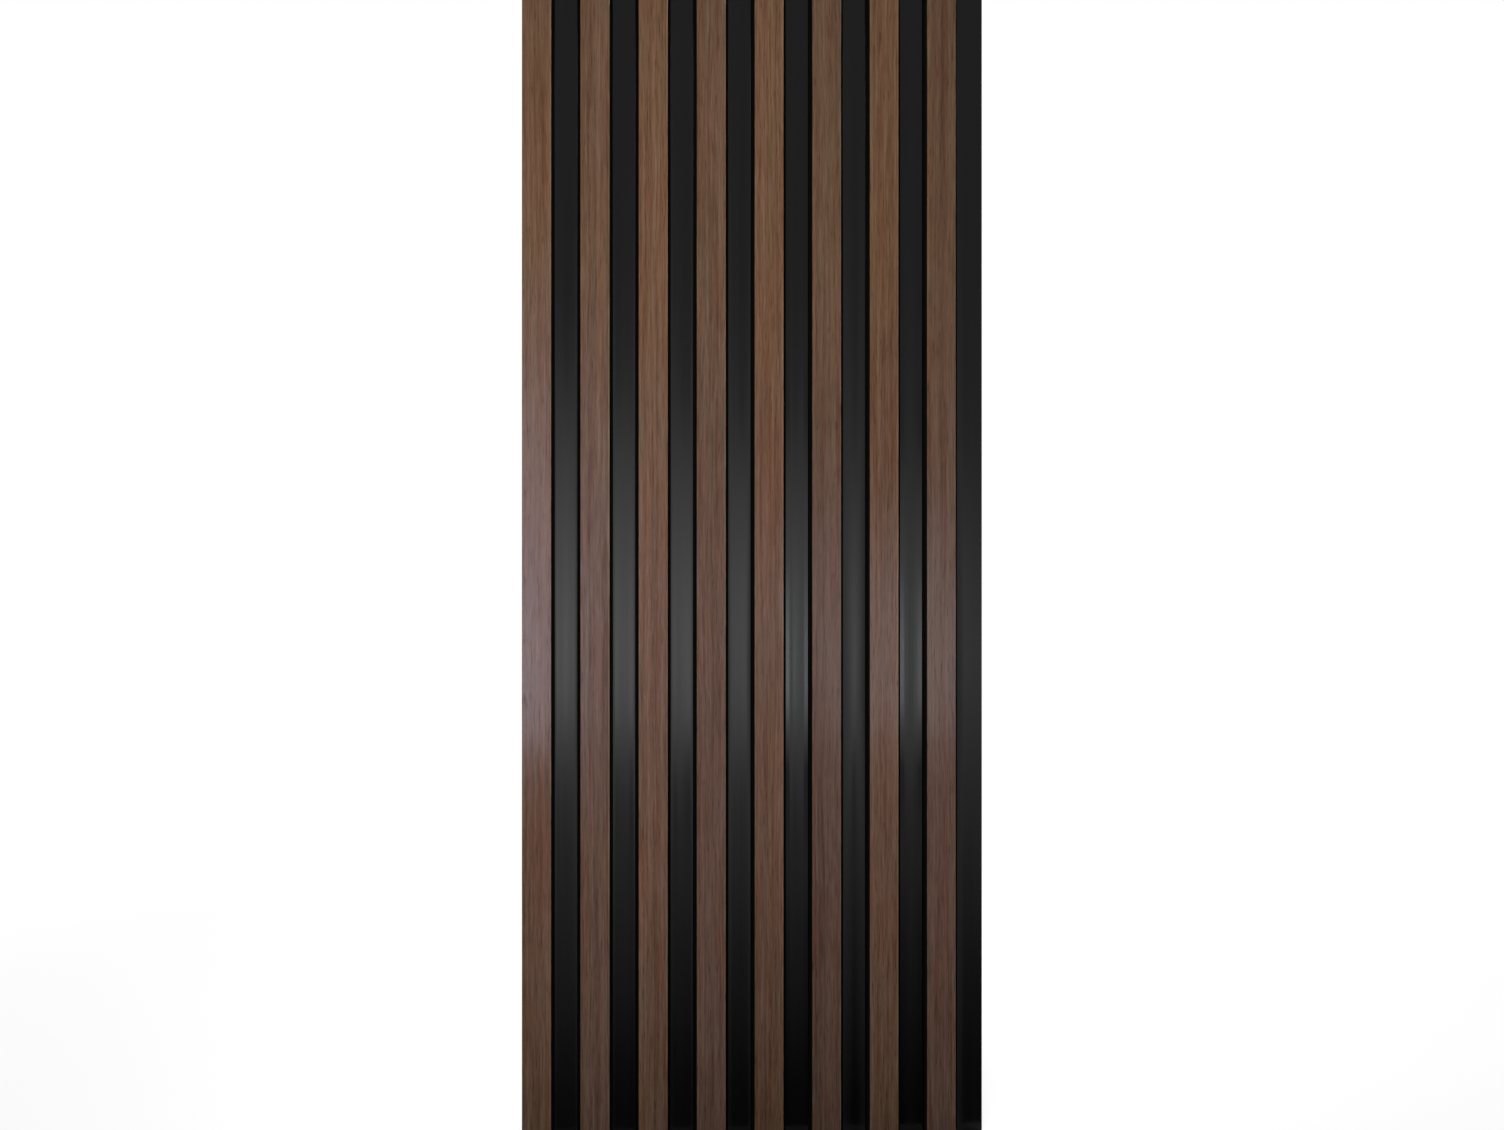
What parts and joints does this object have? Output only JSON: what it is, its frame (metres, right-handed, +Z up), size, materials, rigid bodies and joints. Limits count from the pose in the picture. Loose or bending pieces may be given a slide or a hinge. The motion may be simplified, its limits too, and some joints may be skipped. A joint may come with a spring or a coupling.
{
  "type": "slat wall panel",
  "caption": "Slat wall panel: upright walnut-veneered slats on a thin satin black backing board, with an open groove at one edge so that the pattern runs on to the next panel.",
  "frame": {"origin": "centre of the flat back face that lies against the wall", "axes": "+Z up along the slats, +Y into the wall, +X to the right as seen from the room"},
  "size_m": [0.48, 0.015, 1.2],
  "materials": {
    "walnut_veneer": "walnut veneer, satin clear lacquer, grain along the slat",
    "black_core": "black-dyed fibreboard, sanded, matt",
    "black_board": "black fibreboard, satin black lacquer on the room side"
  },
  "bodies": {
    "root": {"backing_board": "black_board", "slat_core_1": "black_core", "slat_core_2": "black_core", "slat_core_3": "black_core", "slat_core_4": "black_core", "slat_core_5": "black_core", "slat_core_6": "black_core", "slat_core_7": "black_core", "slat_core_8": "black_core", "slat_veneer_1": "walnut_veneer", "slat_veneer_2": "walnut_veneer", "slat_veneer_3": "walnut_veneer", "slat_veneer_4": "walnut_veneer", "slat_veneer_5": "walnut_veneer", "slat_veneer_6": "walnut_veneer", "slat_veneer_7": "walnut_veneer", "slat_veneer_8": "walnut_veneer"}
  },
  "joints": []
}
